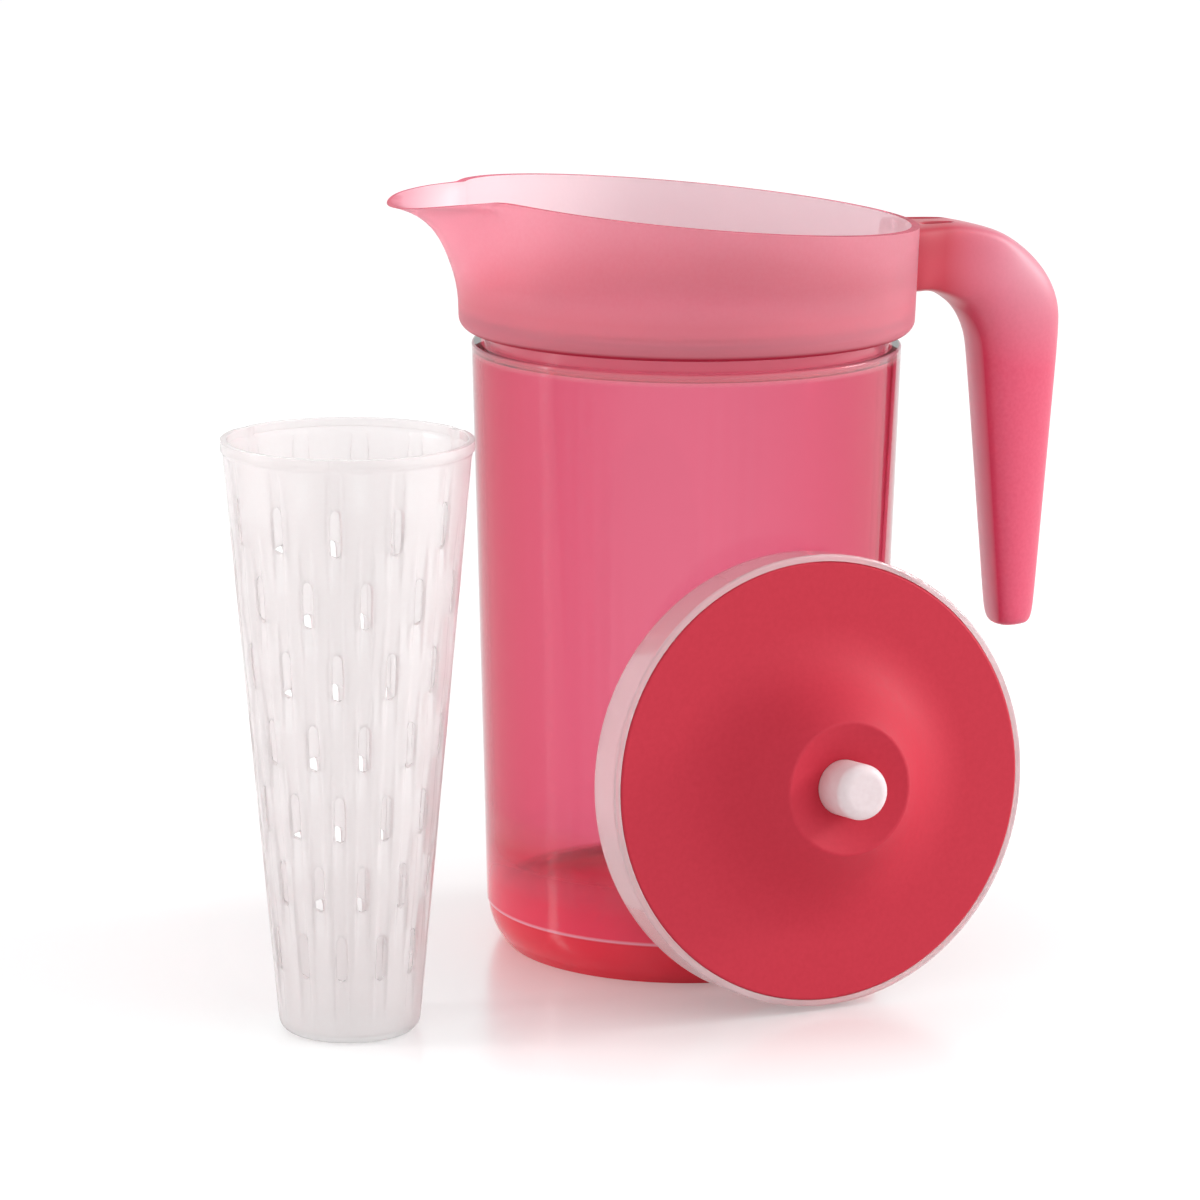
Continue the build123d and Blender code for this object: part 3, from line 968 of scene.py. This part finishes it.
# %% [markdown]
# ## Frosted white: the infuser's finish
#
# The cup is milky: it lets most of the light through and blurs what is behind it. Rough
# transmission does that, and a coat over it gives the flutes their soft light lines. It has no
# bump, because a bump under rough transmission turns into dark specks.

# %% Frosted white
frosted_white, tree, shader = new_finish(
    "frosted_white", transmission_weight=0.7, ior=1.12, coat_weight=0.6, coat_roughness=0.2,
)
haze = noise_on_object(tree, scale=800.0, detail=3.0)
mottled_colour(tree, shader, haze, dark=(0.98, 0.945, 0.945), light=(0.99, 0.965, 0.965))
varied_roughness(tree, shader, haze, smooth=0.32, rough=0.42)
fluted_infuser.data.materials.append(frosted_white)
print("infuser wears", frosted_white.name)

# %% [markdown]
# ## The studio
#
# The floor is a white board under soft light that keeps the shadows. It could be plain white
# paper, but under a pitcher a photographer likes a little polish, which mirrors the foot and
# fades away from it.

# %% Floor
floor_size = 14.0
shape = bmesh.new()
bmesh.ops.create_grid(shape, x_segments=1, y_segments=1, size=floor_size / 2)
floor_mesh = bpy.data.meshes.new("floor")
shape.to_mesh(floor_mesh)
shape.free()
floor = bpy.data.objects.new("floor", floor_mesh)
bpy.context.scene.collection.objects.link(floor)
print("floor", floor_size, "m square")

# %% [markdown]
# The lit board alone would be a pale grey. For rays that the camera sends, straight, mirrored or
# through the clear plastic, a little light of its own lifts it to white. The object gets none
# of that light, because the Light Path node leaves it out of diffuse rays.

# %% White board
board_colour = (0.80, 0.80, 0.80, 1.0)
board_lift = 0.385
polish_roughness = 0.22
polish_near, polish_far = 0.5, 0.1
fade_from, fade_to = 0.06, 0.17


def seen_by_eye(tree):
    """1 for camera, glossy and transmission rays, 0 for the diffuse light on the object."""
    path = tree.nodes.new("ShaderNodeLightPath")
    seen = path.outputs["Is Camera Ray"]
    for ray in ("Is Glossy Ray", "Is Transmission Ray"):
        either = tree.nodes.new("ShaderNodeMath")
        either.operation = "MAXIMUM"
        tree.links.new(seen, either.inputs[0])
        tree.links.new(path.outputs[ray], either.inputs[1])
        seen = either.outputs["Value"]
    return seen


board = bpy.data.materials.new("white_board")
board.use_nodes = True
tree = board.node_tree
tree.nodes.clear()
matt = tree.nodes.new("ShaderNodeBsdfDiffuse")
matt.inputs["Color"].default_value = board_colour
gloss = tree.nodes.new("ShaderNodeBsdfGlossy")
gloss.inputs["Roughness"].default_value = polish_roughness
lift = tree.nodes.new("ShaderNodeEmission")
lifted = spread(tree, seen_by_eye(tree), 0.0, 1.0, 0.0, board_lift)
tree.links.new(lifted, lift.inputs["Strength"])
lit = tree.nodes.new("ShaderNodeAddShader")
tree.links.new(matt.outputs["BSDF"], lit.inputs[0])
tree.links.new(lift.outputs["Emission"], lit.inputs[1])
polish = tree.nodes.new("ShaderNodeMixShader")
from_foot = distance_from(tree, tumbler_axis)
fade = spread(tree, from_foot, fade_from, fade_to, polish_near, polish_far)
tree.links.new(fade, polish.inputs["Fac"])
tree.links.new(lit.outputs["Shader"], polish.inputs[1])
tree.links.new(gloss.outputs["BSDF"], polish.inputs[2])
surface = tree.nodes.new("ShaderNodeOutputMaterial")
tree.links.new(polish.outputs["Shader"], surface.inputs["Surface"])
floor_mesh.materials.append(board)
print("board is lifted by", board_lift)

# %% [markdown]
# The world is the white room round the table. The camera sees it pure white, and the object gets
# a weaker light from it on all sides, so that the lamps still shape it.

# %% World
ambient = 0.7
world = bpy.data.worlds.new("studio")
bpy.context.scene.world = world
world.use_nodes = True
tree = world.node_tree
background = tree.nodes["Background"]
background.inputs["Color"].default_value = (1.0, 1.0, 1.0, 1.0)
strength = spread(tree, seen_by_eye(tree), 0.0, 1.0, ambient, 1.0)
tree.links.new(strength, background.inputs["Strength"])
print("world gives", ambient, "to the object")

# %% [markdown]
# ## The lamps
#
# A very wide sun from the right gives the floor the same light everywhere and the lid its soft
# shading. A soft box high on the right adds the highlight on the bend of the handle, and a tall
# narrow strip on the left draws the upright light line on the tumbler. One small lamp would do
# for the shading, but its highlights would be hard dots.

# %% Lamps
middle = Vector((0.0, 0.0, 0.11))


def place_lamp(data, place):
    lamp = bpy.data.objects.new(data.name, data)
    bpy.context.scene.collection.objects.link(lamp)
    lamp.location = place
    lamp.rotation_euler = (middle - place).to_track_quat("-Z", "Y").to_euler()
    print(data.name, data.energy)


def soft_lamp(name, width, height, power, place):
    data = bpy.data.lights.new(name, "AREA")
    data.shape = "RECTANGLE"
    data.size = width
    data.size_y = height
    data.energy = power
    place_lamp(data, place)


sun_data = bpy.data.lights.new("wide_sun", "SUN")
sun_data.energy = 1.0
sun_data.angle = math.radians(80.0)
place_lamp(sun_data, Vector((1.6, -1.0, 0.8)))
soft_lamp("soft_box", width=0.42, height=0.42, power=8.0, place=Vector((1.35, -0.1, 0.65)))
soft_lamp("left_fill", width=0.16, height=0.9, power=5.0, place=Vector((-1.3, 0.2, 0.45)))

# %% [markdown]
# ## The end of the lesson
#
# The view transform is Standard, so that a colour looks as it is written.

# %% Finish
bpy.context.scene.view_settings.view_transform = "Standard"
